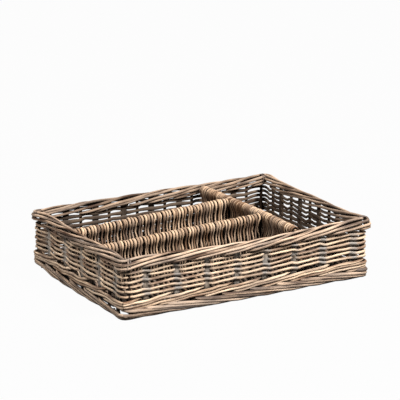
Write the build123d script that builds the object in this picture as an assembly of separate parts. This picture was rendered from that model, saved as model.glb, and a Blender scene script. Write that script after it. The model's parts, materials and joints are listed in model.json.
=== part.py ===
"""Woven rattan cutlery tray with four compartments. Millimetres, +Z up, long side along X.

A base of sticks and cross weavers lies on foot bearers. Stakes and flat ribs stand round it by
turns and carry a rolled foot, a wale, open rows of weaving and a rolled rim. Three woven dividers
make three long compartments and one across. Every rod is a solid of its own. Straight and rolled
rods are drawn six-sided; woven strands, which repeat the most, are drawn four-sided.
"""

import os
from math import ceil, cos, floor, hypot, pi, sin, tan

from build123d import *

# Overall size, over the rim and from the floor
LENGTH = 380.0
WIDTH = 270.0
HEIGHT = 83.0

# Play between rods that bear on each other
FIT = 0.2

# Uprights: every second one stands outside the weavers, the others inside. On one side of a wall
# they are round stakes, on the other flat ribs. A wall's first upright is a stake at its corner.
STAKE_D = 4.6
RIB_W = 9.5
RIB_T = 3.0
STAKE_SHIFT = 1.2  # how far an upright stands off the middle of its wall
STAKE_LIFT = 1.0  # floor to an upright's lower end
CORNER_SET = 9.0  # corner to a wall's first stake
END_SET = 20.0  # a wall's last upright to the next corner
LONG_STAKE_PITCH = 22.0
SHORT_STAKE_PITCH = 25.0

# Weaving
WEAVER_T = 3.4
ROWS = 6
WALE_T = 3.4
WALES = 4
WALE_PLAY = 0.5  # between one wale strand and the next above it

# Rim of rolled rods, each rising outside, crossing the top and falling inside
RIM_D = 4.6
RIM_HEIGHT = 16.5
RIM_SHOULDER = 3.2  # how far the crown stands above the shoulders
RIM_PITCH = 41.0  # from one rod's start to the next one's, along the rim
RIM_STEP = 5.6  # from one rod to the next, measured round the rim's section

# Foot: border rods that start under the wale and fall to the floor, and inner bearers
FOOT_D = 4.4
FOOT_PITCH = 41.0
FOOT_LAYERS = 2  # border rods above one another at any place

# Base
BASE_STICK_D = 4.2
BASE_WEAVER_T = 3.0
BASE_PITCH = 12.5
BASE_LAP = 1.6  # how far a base weaver's end reaches over its bearer

# Dividers
CROSS_X = 77.5
CROSS_SKEW = 3.3  # degrees that the cross divider is turned, its back end towards the left wall
BACK_Y = 43.0
FRONT_Y = -38.0
DIVIDER_SINK = 1.0  # rim's top to the dividers' tops
DIVIDER_DROP = 8.0  # the long dividers sink by this more towards the left wall
STRAND_T = 3.4
STRAND_PITCH = 5.8
STRAND_CHAMFER = 2.6
RAIL_D = 5.2
ROD_D = 4.4
MID_ROD_ROWS = 3  # rows of weaving below the middle rod

# Flat height of a six-sided rod over its diameter
FLAT = cos(pi / 6)

# Middle planes of the walls, set in from the overall size by the rim's reach
RIM_REACH = STAKE_SHIFT + STAKE_D / 2 + FIT + RIM_D / 2
RIM_INNER = RIM_REACH + RIM_D / 2
X_MID = LENGTH / 2 - RIM_INNER
Y_MID = WIDTH / 2 - RIM_INNER
LONG_SPAN = 2 * X_MID - CORNER_SET - END_SET
SHORT_SPAN = 2 * Y_MID - CORNER_SET - END_SET
# Bays between uprights, an odd number, so that a wall starts with one inside and ends with one outside
LONG_BAYS = 2 * round((LONG_SPAN / LONG_STAKE_PITCH - 1) / 2) + 1
SHORT_BAYS = 2 * round((SHORT_SPAN / SHORT_STAKE_PITCH - 1) / 2) + 1

# Name, half length between corners, distance from the centre, bays and whether the ribs stand
# outside, for walls a quarter turn apart
WALLS = (
    ("front", X_MID, Y_MID, LONG_BAYS, True),
    ("right", Y_MID, X_MID, SHORT_BAYS, False),
    ("back", X_MID, Y_MID, LONG_BAYS, False),
    ("left", Y_MID, X_MID, SHORT_BAYS, True),
)
GIRTH = 4 * (X_MID + Y_MID)


def hexagon(width, height):
    """Corners of a six-sided section, flat above and below."""
    return [
        (width / 2 * cos(k * pi / 3), height / 2 / FLAT * sin(k * pi / 3))
        for k in range(6)
    ]


STAKE = hexagon(STAKE_D, STAKE_D * FLAT)
RIB = hexagon(RIB_W, RIB_T)


def standoff(thickness, swing, bay):
    """Distance at which a strand's middle clears that of an upright while it swings across a bay."""
    distance = thickness
    for _ in range(6):  # a wider swing is steeper and needs a little more room
        slope = swing(distance) / bay
        reach = max(across + slope * along for along, across in STAKE + RIB)
        distance = thickness / 2 * hypot(1, slope) + reach + FIT
    return distance


NARROW_BAY = min(LONG_SPAN / LONG_BAYS, SHORT_SPAN / SHORT_BAYS)
WEAVER_OFF = standoff(WEAVER_T, lambda d: 2 * (d - STAKE_SHIFT), NARROW_BAY)
WALE_OFF = standoff(WALE_T, lambda d: 2 * (d + STAKE_SHIFT), NARROW_BAY)
WEAVE_INNER = WEAVER_OFF - STAKE_SHIFT + WEAVER_T / 2
WALE_INNER = WALE_OFF + STAKE_SHIFT + WALE_T / 2

# Heights, from the floor up
FOOT_TOP = FOOT_D * FLAT
FOOT_HIGH = FOOT_TOP / 2 + FOOT_LAYERS * (FOOT_TOP + FIT)
WALE_LOW = FOOT_HIGH + FOOT_TOP / 2 + FIT
WALE_STEP = WALE_T + WALE_PLAY
WALE_TOP = WALE_LOW + WALES * WALE_STEP
RIM_LOW = HEIGHT - RIM_HEIGHT
ROW_PITCH = (RIM_LOW - WALE_TOP) / ROWS
RIM_CROWN = HEIGHT - RIM_D * FLAT / 2
STAKE_TOP = RIM_CROWN - RIM_SHOULDER - RIM_D / 2 - FIT
DIVIDER_TOP = HEIGHT - DIVIDER_SINK
MID_ROD_Z = WALE_TOP + MID_ROD_ROWS * ROW_PITCH


def prism(corners, way):
    """A flat outline drawn out along a vector."""
    return Solid.extrude(Face(Wire.make_polygon([Vector(*c) for c in corners])), Vector(*way))


def rod(path, diameter):
    """A rod through points (along, across, up), with its six-sided section upright at each of them."""
    rings = []
    for s, u, z in path:
        section = hexagon(diameter, diameter * FLAT)
        rings.append([Vector(s, -(u + du), z + dz) for du, dz in section])
    outlines = [rings[0], rings[-1]]
    for near, far in zip(rings, rings[1:]):
        for k in range(6):
            outlines.append([near[k - 1], near[k], far[k], far[k - 1]])
    return Solid(Shell([Face(Wire.make_polygon(points)) for points in outlines]))


def mitred(solid, half):
    """What lies between a wall's two corners, cut there at 45 degrees."""
    for side in (1, -1):
        corner = Plane(origin=(side * half, 0, 0), z_dir=(side, 1, 0))
        solid = split(solid, bisect_by=corner, keep=Keep.BOTTOM)
    return solid.solids()


def even(pitch):
    """The pitch nearest to this one that goes into the basket's girth a whole number of times."""
    return GIRTH / round(GIRTH / pitch)


def rolled(shape, step, diameter, centre, half):
    """Rods laid one after another round the basket, and of them what belongs to one wall.

    shape gives a rod's points (along, across, up) from its start. A stub shorter than a few
    diameters would have nothing to hold it, so none is left at a corner.
    """
    reach = shape[-1][0]
    stub = 3 * diameter * (diameter / 2) ** 2 * pi
    first = floor((centre - half - diameter - reach) / step)
    last = ceil((centre + half + diameter) / step)
    rods = []
    for k in range(first, last + 1):
        whole = rod([(k * step - centre + s, u, z) for s, u, z in shape], diameter)
        rods += [piece for piece in mitred(whole, half) if piece.volume > stub]
    return rods


def stakes(half, bays):
    """Places of a wall's uprights: (along, across), the first inside, then by turns."""
    bay = (2 * half - CORNER_SET - END_SET) / bays
    return [
        (-half + CORNER_SET + bay * j, STAKE_SHIFT if j % 2 else -STAKE_SHIFT)
        for j in range(bays + 1)
    ]


def woven(half, bays, sides, off, thickness, z):
    """A strand that passes each upright on its side (+1 outside, -1 inside), mitred at both corners."""
    path = [(s, u + side * off) for (s, u), side in zip(stakes(half, bays), sides)]
    corner = path[0][1]
    edges = []
    for edge in (thickness / 2, -thickness / 2):
        end = half + corner + edge
        row = [(s, u + edge) for s, u in path]
        edges.append([(-end, corner + edge)] + row + [(end, corner + edge)])
    outline = edges[0] + edges[1][::-1]
    return prism([(s, -u, z - thickness / 2) for s, u in outline], (0, 0, thickness))


def save(name, solids, turn=0, shift=(0, 0)):
    """Turns pieces from the frame they were drawn in, shifts them and writes one node."""
    placed = [Pos(shift[0], shift[1], 0) * (Rot(0, 0, turn) * solid) for solid in solids]
    export_step(Compound(children=placed) if len(placed) > 1 else placed[0], f"parts/{name}.step")


def wall_parts():
    """The four walls, each drawn as if its middle plane were the X axis, outside towards -Y."""
    rim_pitch = even(RIM_PITCH)
    rim_edge = RIM_LOW + RIM_D * FLAT / 2
    shoulder = RIM_CROWN - RIM_SHOULDER
    # Length along the rim that a rod takes up its outer side, and from there to the crown
    rise = rim_pitch * (shoulder - rim_edge) / RIM_STEP
    cross = rim_pitch * hypot(RIM_REACH, RIM_SHOULDER) / RIM_STEP
    arch = [
        (0, RIM_REACH, rim_edge),
        (rise, RIM_REACH, shoulder),
        (rise + cross, 0, RIM_CROWN),
        (rise + 2 * cross, -RIM_REACH, shoulder),
        (2 * (rise + cross), -RIM_REACH, rim_edge),
    ]
    foot_pitch = even(FOOT_PITCH)
    foot_across = STAKE_SHIFT + STAKE_D / 2 + FIT + FOOT_D / 2
    fall = [(0, foot_across, FOOT_HIGH), (FOOT_LAYERS * foot_pitch, foot_across, FOOT_TOP / 2)]
    bearer_across = -(WALE_INNER + FIT + BASE_LAP)
    centre = 0
    for i, (name, half, away, bays, ribs_outside) in enumerate(WALLS):
        if i:
            centre += WALLS[i - 1][1] + half
        turn = 360 * i / len(WALLS)
        shift = (away * sin(turn * pi / 180), -away * cos(turn * pi / 180))

        bearer = rod([(end, bearer_across, FOOT_TOP / 2) for end in (-half, half)], FOOT_D)
        save(f"{name}_foot_bearer", mitred(bearer, half), turn, shift)
        save(f"{name}_foot_border", rolled(fall, foot_pitch, FOOT_D, centre, half), turn, shift)

        round_posts = []
        flat_posts = []
        for j, (s, u) in enumerate(stakes(half, bays)):
            flat = j > 0 and ribs_outside == (u > 0)
            ring = [(s + dx, -u + dy, STAKE_LIFT) for dx, dy in (RIB if flat else STAKE)]
            post = prism(ring, (0, 0, STAKE_TOP - STAKE_LIFT))
            (flat_posts if flat else round_posts).append(post)
        save(f"{name}_stakes", round_posts, turn, shift)
        save(f"{name}_ribs", flat_posts, turn, shift)

        strands = []
        for k in range(WALES):
            # Inside one upright in four, each strand one upright on from the last
            sides = [-1 if j and (j + k) % WALES == 0 else 1 for j in range(bays + 1)]
            z = WALE_LOW + WALE_T / 2 + k * WALE_STEP
            strands.append(woven(half, bays, sides, WALE_OFF, WALE_T, z))
        save(f"{name}_wale", strands, turn, shift)

        for k in range(ROWS):
            # Every row keeps the same side of an upright, so the outside ones stand proud in columns
            sides = [-1 if j % 2 else 1 for j in range(bays + 1)]
            z = WALE_TOP + (k + 0.5) * ROW_PITCH
            row = woven(half, bays, sides, WEAVER_OFF, WEAVER_T, z)
            save(f"{name}_weaver_{k + 1}", [row], turn, shift)

        save(f"{name}_rim", rolled(arch, rim_pitch, RIM_D, centre, half), turn, shift)


BASE_X = X_MID - WALE_INNER - FIT
BASE_Y = Y_MID - WALE_INNER - FIT
STICKS = (
    (FRONT_Y - BASE_Y) / 2,
    FRONT_Y,
    (FRONT_Y + BACK_Y) / 2,
    BACK_Y,
    (BACK_Y + BASE_Y) / 2,
)
BASE_SWING = BASE_WEAVER_T / 2 + BASE_STICK_D / 2 + 2 * FIT
BASE_Z = FOOT_TOP + FIT + BASE_SWING + BASE_WEAVER_T / 2
BASE_TOP = BASE_Z + BASE_SWING + BASE_WEAVER_T / 2


def base_parts():
    """Sticks along the base and weavers across it, over and under by turns, ends on the bearers."""
    bars = []
    for y in STICKS:
        bars.append(rod([(-BASE_X, -y, BASE_Z), (BASE_X, -y, BASE_Z)], BASE_STICK_D))
    save("base_sticks", bars)

    count = floor((2 * BASE_X - BASE_WEAVER_T) / BASE_PITCH)
    strips = []
    for k in range(count + 1):
        x = (k - count / 2) * BASE_PITCH - BASE_WEAVER_T / 2
        line = [(-BASE_Y, -BASE_SWING)]
        for j, y in enumerate(STICKS):
            line.append((y, BASE_SWING if (j + k) % 2 else -BASE_SWING))
        line.append((BASE_Y, -BASE_SWING))
        half = BASE_WEAVER_T / 2
        outline = [(y, z + half) for y, z in line] + [(y, z - half) for y, z in line[::-1]]
        strips.append(prism([(x, y, BASE_Z + z) for y, z in outline], (BASE_WEAVER_T, 0, 0)))
    save("base_weavers", strips)


STRAND_INNER = max(RAIL_D, ROD_D) / 2 + FIT
STRAND_OUTER = STRAND_INNER + STRAND_T


def divider_parts(name, start, end, insets, drop, turn, shift):
    """One divider, drawn along X: a rail, two lower rods and strands that hang over them.

    insets are how far the rail, the middle rod and the sill reach past start and end.
    """

    def top_at(x):
        return DIVIDER_TOP - drop * (end - x) / (end - start)

    rail_fall = STRAND_T + 1.5 * FIT + RAIL_D * FLAT / 2
    (rail_a, rail_b), (mid_a, mid_b), (sill_a, sill_b) = insets
    ends = (start - rail_a, end + rail_b)
    rail = [(x, 0, top_at(x) - rail_fall) for x in ends]
    save(f"{name}_divider_rail", [rod(rail, RAIL_D)], turn, shift)

    sill_z = BASE_TOP + FIT + ROD_D * FLAT / 2
    mid = rod([(start - mid_a, 0, MID_ROD_Z), (end + mid_b, 0, MID_ROD_Z)], ROD_D)
    sill = rod([(start - sill_a, 0, sill_z), (end + sill_b, 0, sill_z)], ROD_D)
    save(f"{name}_divider_rods", [mid, sill], turn, shift)

    foot = BASE_TOP + FIT
    count = floor((end - start - STRAND_T - 2 * FIT) / STRAND_PITCH)
    strands = []
    for k in range(count + 1):
        x = (start + end) / 2 + (k - count / 2) * STRAND_PITCH
        top = top_at(x)
        shoulder = STRAND_OUTER - STRAND_CHAMFER
        right = [(STRAND_OUTER, foot), (STRAND_OUTER, top - STRAND_CHAMFER), (shoulder, top)]
        inside = [(STRAND_INNER, top - STRAND_T), (STRAND_INNER, foot)]
        outline = [(-w, z) for w, z in right] + [(w, z) for w, z in right[::-1]]
        outline += [(w, z) for w, z in inside[::-1]] + [(-w, z) for w, z in inside]
        strands.append(prism([(x - STRAND_T / 2, w, z) for w, z in outline], (STRAND_T, 0, 0)))
    save(f"{name}_divider_strands", strands, turn, shift)


def all_dividers():
    # Between the rims; the middle rods run on to the weaving and the sills to the wale
    mid_more = RIM_INNER - WEAVE_INNER
    sill_more = RIM_INNER - WALE_INNER
    slope = tan(CROSS_SKEW * pi / 180)
    y_end = Y_MID - RIM_INNER - FIT - STRAND_OUTER * slope
    both = ((0, 0), (mid_more, mid_more), (sill_more, sill_more))
    divider_parts("cross", -y_end, y_end, both, 0, 90 + CROSS_SKEW, (CROSS_X, 0))

    x_start = -(X_MID - RIM_INNER - FIT)
    one = ((0, 0), (mid_more, 0), (sill_more, 0))
    for name, y in (("back", BACK_Y), ("front", FRONT_Y)):
        # A long divider ends where the nearer of its corners meets the slanting cross divider
        x_end = CROSS_X - y * slope - STRAND_OUTER * (hypot(1, slope) + slope) - FIT
        divider_parts(name, x_start, x_end, one, DIVIDER_DROP, 0, (0, y))


os.makedirs("parts", exist_ok=True)
wall_parts()
base_parts()
all_dividers()
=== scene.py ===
# %% [markdown]
# # A rattan cutlery basket
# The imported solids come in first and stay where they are. They give every rod its place: the walls'
# middle planes, the uprights, the heights of the rows and the dividers. The visible rods are then
# modelled round those places as real round or flat canes. Rounding the solids themselves would be
# quicker, but their straight sides have none of the bends that make cane look woven.

import json
import math

import bpy
import numpy as np
from mathutils import Matrix, Vector


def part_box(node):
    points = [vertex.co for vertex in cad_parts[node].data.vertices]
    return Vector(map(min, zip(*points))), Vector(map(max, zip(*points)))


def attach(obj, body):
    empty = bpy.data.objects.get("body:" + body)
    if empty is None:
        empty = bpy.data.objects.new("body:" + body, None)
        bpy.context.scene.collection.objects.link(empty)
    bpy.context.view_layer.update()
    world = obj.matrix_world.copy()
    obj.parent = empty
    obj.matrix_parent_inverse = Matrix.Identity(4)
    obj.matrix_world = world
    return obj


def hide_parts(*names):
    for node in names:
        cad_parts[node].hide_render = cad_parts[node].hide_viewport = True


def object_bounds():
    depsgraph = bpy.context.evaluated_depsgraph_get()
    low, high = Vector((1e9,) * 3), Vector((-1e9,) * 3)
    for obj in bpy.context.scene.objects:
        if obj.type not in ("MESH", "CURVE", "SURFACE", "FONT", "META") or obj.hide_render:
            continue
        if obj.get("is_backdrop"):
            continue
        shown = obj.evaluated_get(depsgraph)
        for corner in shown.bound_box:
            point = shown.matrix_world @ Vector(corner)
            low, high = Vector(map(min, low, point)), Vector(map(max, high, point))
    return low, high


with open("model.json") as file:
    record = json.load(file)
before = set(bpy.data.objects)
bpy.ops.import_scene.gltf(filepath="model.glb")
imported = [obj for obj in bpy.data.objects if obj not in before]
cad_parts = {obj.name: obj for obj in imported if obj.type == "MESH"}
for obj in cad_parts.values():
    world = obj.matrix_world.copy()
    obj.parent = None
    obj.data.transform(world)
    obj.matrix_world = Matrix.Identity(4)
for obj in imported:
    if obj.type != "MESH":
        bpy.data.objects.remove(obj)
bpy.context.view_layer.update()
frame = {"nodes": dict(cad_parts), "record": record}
MM = 0.001

# %% [markdown]
# A node may hold many solids, one for each rod. Vertices at the same place belong together, and the
# smallest label spreads along the edges until each rod has one label of its own. Splitting the mesh
# by loose parts in edit mode would do the same, but leaves objects behind. The box of each rod, in
# millimetres, is all that the later cells need.


# %% Boxes of the separate rods in a node
def node_points(node):
    obj = frame["nodes"][node]
    flat = np.zeros(len(obj.data.vertices) * 3)
    obj.data.vertices.foreach_get("co", flat)
    turn = np.array(obj.matrix_world)
    return (flat.reshape(-1, 3) @ turn[:3, :3].T + turn[:3, 3]) / MM


def rod_boxes(node):
    points = node_points(node)
    same = np.unique(np.round(points, 2), axis=0, return_inverse=True)[1].ravel()
    mesh = frame["nodes"][node].data
    ends = np.zeros(len(mesh.edges) * 2, dtype=np.int64)
    mesh.edges.foreach_get("vertices", ends)
    one, two = same[ends].reshape(-1, 2).T
    label = np.arange(same.max() + 1)
    while True:
        low = np.minimum(label[one], label[two])
        new = label.copy()
        np.minimum.at(new, one, low)
        np.minimum.at(new, two, low)
        new = new[new]
        if (new == label).all():
            break
        label = new
    owner = label[same]
    rods = [points[owner == k] for k in np.unique(owner)]
    return [(p.min(axis=0), p.max(axis=0)) for p in rods]


def middle(box):
    return (box[0] + box[1]) / 2


print("rods in the front rim:", len(rod_boxes("front_rim")))

# %% [markdown]
# Rows, wale, rim and foot all run round the basket, so they are drawn in the basket's own
# coordinates: g along the girth from the middle of the front, u outwards from the wall's middle
# plane, and z up. The corners are rounded, and a wall's end at 45 degrees is always at the same g,
# so that a rod can be shared out to the walls it passes. A used basket has settled: its walls belly
# out a little, the long front rim sags, and the corners flare and lift. A lattice could bend the
# finished meshes so, but would squash the canes where it bends most. Here the settling is part of
# the coordinates, and every cane follows it with its section kept.

# %% Places on the girth
WALLS = ("front", "right", "back", "left")
rim_box = {w: [np.array(c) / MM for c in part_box(f"{w}_rim")] for w in WALLS}
X_MID = (middle(rim_box["right"])[0] - middle(rim_box["left"])[0]) / 2
Y_MID = (middle(rim_box["back"])[1] - middle(rim_box["front"])[1]) / 2
TOP = rim_box["front"][1][2]
HALF = np.array([X_MID, Y_MID, X_MID, Y_MID])
AWAY = np.array([Y_MID, X_MID, Y_MID, X_MID])
GIRTH = 2 * HALF.sum()
WALL_START = np.concatenate([[0], np.cumsum(2 * HALF)]) - X_MID
CORNERS = WALL_START[:4]  # front left, which is the near one, front right, back right, back left
QUARTER = math.pi / 2


def wall_at(g):
    """Number of the wall at g, from 0 for the front to 3 for the left."""
    return np.clip(np.searchsorted(WALL_START, g, side="right") - 1, 0, 3)


def place_on(wall, point):
    """(g, u) of a point that lies on a wall."""
    i = WALLS.index(wall)
    turn = i * QUARTER
    along = math.cos(turn) * point[0] + math.sin(turn) * point[1]
    out = math.sin(turn) * point[0] - math.cos(turn) * point[1]
    return WALL_START[i] + HALF[i] + along, out - AWAY[i]


def near(g, places, width):
    """1 at any of the places, falling smoothly to 0 at width from it."""
    away = [np.abs((g - c + GIRTH / 2) % GIRTH - GIRTH / 2) for c in places]
    close = np.clip(1 - np.min(away, axis=0) / width, 0, 1)
    return close ** 2 * (3 - 2 * close)


print("girth", round(GIRTH, 1), "mm")

# %% Coordinates round a settled basket
# For each wall, or the corner where it starts, in millimetres
SAG = np.array([5.0, 0.5, -0.5, 1.5])  # fall of the rim at the wall's middle
BOW = np.array([3.5, 1.5, 2.0, 2.3])  # belly of the wall at its middle
CORNER_LIFT = np.array([0.0, 2.2, 0.0, 0.5])  # rise of the rim at the corner
FLARE_RIM = np.array([4.5, 4.5, 4.5, 2.3])  # how far the corner stands out at the rim
FLARE_LOW, FLARE_HIGH, FLARE_RISE = 1.5, 4.5, 25.0  # the same below it: from, to, and within
RIM_FROM, RIM_BLEND = 62.0, 8.0  # height where the rim's flare takes over, and within
CORNER_R = 4.0
CORNER_POWER, SAG_POWER, LIFT_POWER = 8, 5, 4  # how closely each keeps to its corner or to the top


def around(g, u, z):
    """Points in millimetres for arrays of g, u and z."""
    g, u, z = np.broadcast_arrays(*(np.asarray(v, float) for v in (g, u, z)))
    g = (g + X_MID) % GIRTH - X_MID
    i = wall_at(g)
    s = g - WALL_START[i] - HALF[i]
    belly = np.cos(QUARTER * s / HALF[i]) ** 2
    high = np.clip(z / TOP, 0, 1)
    corner = (1 - belly) ** CORNER_POWER
    which = np.where(s < 0, i, (i + 1) % len(WALLS))
    at_rim = np.clip((z - RIM_FROM) / RIM_BLEND, 0, 1)
    flare = FLARE_LOW + (FLARE_HIGH - FLARE_LOW) * np.clip(z / FLARE_RISE, 0, 1)
    flare = (flare + (FLARE_RIM[which] - FLARE_HIGH) * at_rim) * corner
    u = u + BOW[i] * belly
    z = z - SAG[i] * belly * high ** SAG_POWER + CORNER_LIFT[which] * corner * high ** LIFT_POWER
    run = HALF[i] - CORNER_R
    bend = np.sign(s) * np.maximum(np.abs(s) - run, 0) / CORNER_R * QUARTER / 2
    along = np.clip(s, -run, run) + (CORNER_R + u) * np.sin(bend) + np.sign(s) * flare
    out = AWAY[i] + (CORNER_R + u) * np.cos(bend) - CORNER_R + flare
    turn = i * QUARTER
    x = np.cos(turn) * along + np.sin(turn) * out
    y = np.sin(turn) * along - np.cos(turn) * out
    return np.stack([x, y, z], axis=-1)


print("front rim at its middle:", np.round(around(0, 0, TOP), 1))

# %% [markdown]
# No cane is straight or even. A displacement texture could ruffle them, but would roughen a cane
# instead of bending it. So each gets a slow sway made of a few sine waves that close on themselves
# round the basket, from a seeded generator, so that every run gives the same basket.

# %% Seeded unevenness
SEED, WAVES = 41, 6
rng = np.random.default_rng(SEED)


def sway(g, size, slow=4, quick=26):
    """A smooth random curve along the girth, about size high."""
    g = np.asarray(g, float)
    total = np.zeros_like(g)
    for _ in range(WAVES):
        wave = rng.integers(slow, quick + 1)
        total += np.sin(2 * math.pi * wave * g / GIRTH + rng.uniform(0, 2 * math.pi))
    return total * size / 2


print("seed", SEED)

# %% [markdown]
# A cane is a tube: rings of points set square to its path. A bevelled curve object gives such a
# tube too. Rings are kept as arrays instead, because a cane that passes a corner is sawn there into
# the pieces of two walls, and because each ring carries numbers for the finish: its tone, how grey
# it has weathered, and a seed that shifts the cane's grain.

# %% Canes as rings of points
GRAIN_SEEDS = (0, 50)  # limits of a cane's own shift of the grain
canes = {}


def ring_tube(path, radius, up=(0, 0, 1), sides=10, width=None, round_it=0.75):
    """Rings round a path; radius may change along it, width makes the section flat."""
    path = np.asarray(path, float)
    way = np.gradient(path, axis=0)
    way /= np.linalg.norm(way, axis=1, keepdims=True)
    side = np.cross(way, np.broadcast_to(np.asarray(up, float), path.shape))
    side /= np.linalg.norm(side, axis=1, keepdims=True)
    over = np.cross(side, way)
    angle = 2 * math.pi * (np.arange(sides) + 0.5) / sides
    c, s = np.cos(angle), np.sin(angle)
    thick = np.broadcast_to(np.asarray(radius, float), len(path))[:, None, None]
    wide = thick
    if width is not None:
        wide = np.broadcast_to(np.asarray(width, float), len(path))[:, None, None]
        c, s = np.sign(c) * np.abs(c) ** round_it, np.sign(s) * np.abs(s) ** round_it
    return (
        path[:, None, :]
        + wide * c[None, :, None] * side[:, None, :]
        + thick * s[None, :, None] * over[:, None, :]
    )


def lengths(path):
    return np.concatenate([[0], np.cumsum(np.linalg.norm(np.diff(path, axis=0), axis=1))])


def add_cane(node, rings, along, tone, grey):
    seed = rng.uniform(*GRAIN_SEEDS)
    tone, grey = (np.broadcast_to(v, len(rings)) for v in (tone, grey))
    canes.setdefault(node, []).append((rings, along, tone, grey, seed))


print("a cane has", ring_tube([(0, 0, 0), (1, 0, 0)], 1).shape[1], "sides unless it says otherwise")

# %% Canes sawn at the corners
AT_CORNER, LAP_SLACK = 1e-6, 1e-9  # a corner's own ring belongs to both its walls
CROWD = 0.4  # of a step: a ring nearer than this to a corner gives way to the corner's own
FEWEST, SHORTEST = 8, 4  # rings in a whole cane at least, and in the shortest piece worth keeping


def share_out(suffix, g, rings, along, tone, grey):
    """Saws a cane at the corners and gives each wall its piece; g includes the corners' own g."""
    grey = np.broadcast_to(grey, len(g))
    turn = np.floor((g + X_MID) / GIRTH + LAP_SLACK)
    for lap in range(int(turn.min()), int(turn.max()) + 1):
        for i, wall in enumerate(WALLS):
            low = WALL_START[i] + lap * GIRTH - AT_CORNER
            high = WALL_START[i + 1] + lap * GIRTH + AT_CORNER
            mine = np.flatnonzero((g >= low) & (g <= high))
            if len(mine) >= SHORTEST:
                add_cane(f"{wall}_{suffix}", rings[mine], along[mine], tone, grey[mine])


def girth_steps(start, end, step):
    """Values of g from start to end, with the corners among them."""
    g = np.linspace(start, end, max(FEWEST, int((end - start) / step)))
    laps = range(int(start // GIRTH) - 1, int(end // GIRTH) + 2)
    corners = [c + lap * GIRTH for lap in laps for c in CORNERS]
    extra = [c for c in corners if start + 1 < c < end - 1]
    keep = [x for x in g if all(abs(x - c) > step * CROWD for c in extra)]
    return np.array(sorted(keep + extra))


print("rings round the basket at 3 mm:", len(girth_steps(-X_MID, GIRTH - X_MID, 3.0)))

# %% [markdown]
# The uprights decide where everything else passes. On the front and left walls the outer uprights
# are flat grey ribs and the inner ones round stakes; on the back and right walls it is the other
# way round. Cylinders and boxes would do for them at a distance. As canes they can lean, taper and
# weather like the rest. Their places come from the solids, but the ribs sit deeper in the weaving,
# so that the rows can lie over some of them.

# %% Uprights: round stakes and flat ribs
RIB_DEEPER = {"front": 1.6, "right": 0.9, "back": 0.9, "left": 2.3}
LEAN = BEND = 0.5  # spreads of an upright's lean and bend
RIB_WAVER, RIB_WAVES = 0.05, 9  # a rib's width comes and goes by this share
PHASES = (0, 6)  # where in its turn a wave may start, in radians
# A tone is a mean and a spread, and a sway is a size and its slowest and quickest waves
RIB_TONE, RIB_GREY, RIB_GREY_LIMITS = (0.2, 0.6), 0.55, (0.1, 1)
RIB_PATCHY, PATCH_LONG = (0.35, 4, 12), 12
STAKE_TONE, STAKE_THICK, STAKE_TAPER = (-3.5, 0.5), 1.02, 0.1
UPRIGHT_RINGS, RIB_SIDES = 30, 12
uprights = []
for i, wall in enumerate(WALLS):
    out = np.array([math.sin(i * QUARTER), -math.cos(i * QUARTER), 0])
    for kind in ("stakes", "ribs"):
        node = f"{wall}_{kind}"
        for box in rod_boxes(node):
            g, u = place_on(wall, middle(box))
            thin, wide = sorted((box[1] - box[0])[:2] / 2)
            uprights.append((g, u, thin))
            z = np.linspace(box[0][2], box[1][2], UPRIGHT_RINGS)
            f = (z - z[0]) / (z[-1] - z[0])
            lean, bend = rng.normal(0, LEAN), rng.normal(0, BEND)
            off = lean * (f - 0.5) * 2 + bend * np.sin(math.pi * f)
            deeper = RIB_DEEPER[wall] * np.sign(u) if kind == "ribs" else 0.0
            path = around(g + off, u - deeper, z)
            if kind == "ribs":
                width = wide * (1 + RIB_WAVER * np.sin(RIB_WAVES * f + rng.uniform(*PHASES)))
                rings = ring_tube(path, thin, out, RIB_SIDES, width)
                patchy = RIB_GREY + sway(z * PATCH_LONG, *RIB_PATCHY)
                patchy = np.clip(patchy, *RIB_GREY_LIMITS)
                add_cane(node, rings, lengths(path), rng.normal(*RIB_TONE), patchy)
            else:
                rings = ring_tube(path, wide * (STAKE_THICK - STAKE_TAPER * f), out)
                add_cane(node, rings, lengths(path), rng.normal(*STAKE_TONE), 0.0)
uprights.sort()
UPRIGHT_G, UPRIGHT_U, UPRIGHT_T = np.array(uprights).T
COUNT = len(uprights)
LAP_G = np.concatenate([UPRIGHT_G, UPRIGHT_G[:1] + GIRTH])
print(COUNT, "uprights")

# %% [markdown]
# A row of weaving is one cane all the way round. It passes outside the inner uprights; an outer rib
# it passes behind, or lies over, as it happens, so the ribs show as grey patches in columns. On its
# way it rises a little and drops back at a rib, so a wall shows slanting strokes, and on the left
# wall it also swings in and out. Past a corner it has a small notch, and at two wall ends the rows
# lie close. A polyline through the uprights would look like bent wire; a cosine between neighbours
# gives the lazy curve of a rod that was woven damp.

# %% A smooth line past the uprights
SMOOTH = 3  # rings on either side that a step is spread over


def past_uprights(g, values):
    """A curve through one value at each upright, with cosine bends, and the place among them."""
    values = np.concatenate([values, values[:1]])
    h = (g - LAP_G[0]) % GIRTH + LAP_G[0]
    j = np.clip(np.searchsorted(LAP_G, h, side="right") - 1, 0, COUNT - 1)
    share = (h - LAP_G[j]) / (LAP_G[j + 1] - LAP_G[j])
    f = (1 - np.cos(math.pi * share)) / 2
    return values[j] * (1 - f) + values[j + 1] * f, j + share


def stroke(share, hidden):
    """Rises from 0 to 1 with share, and falls back within hidden of either end."""
    up = np.clip((share - hidden) / (1 - 2 * hidden), 0, 1)
    down = np.where(share < 0.5, 0.5 - share / hidden / 2, 0.5 + (1 - share) / hidden / 2)
    return np.where((share >= hidden) & (share <= 1 - hidden), up, down)


def even(values):
    """The values with their steps smoothed out."""
    span = 2 * SMOOTH + 1
    return np.convolve(np.pad(values, SMOOTH, mode="edge"), np.ones(span) / span, mode="valid")


print("a stroke at its middle:", stroke(np.array([0.5]), 0.1))

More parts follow.
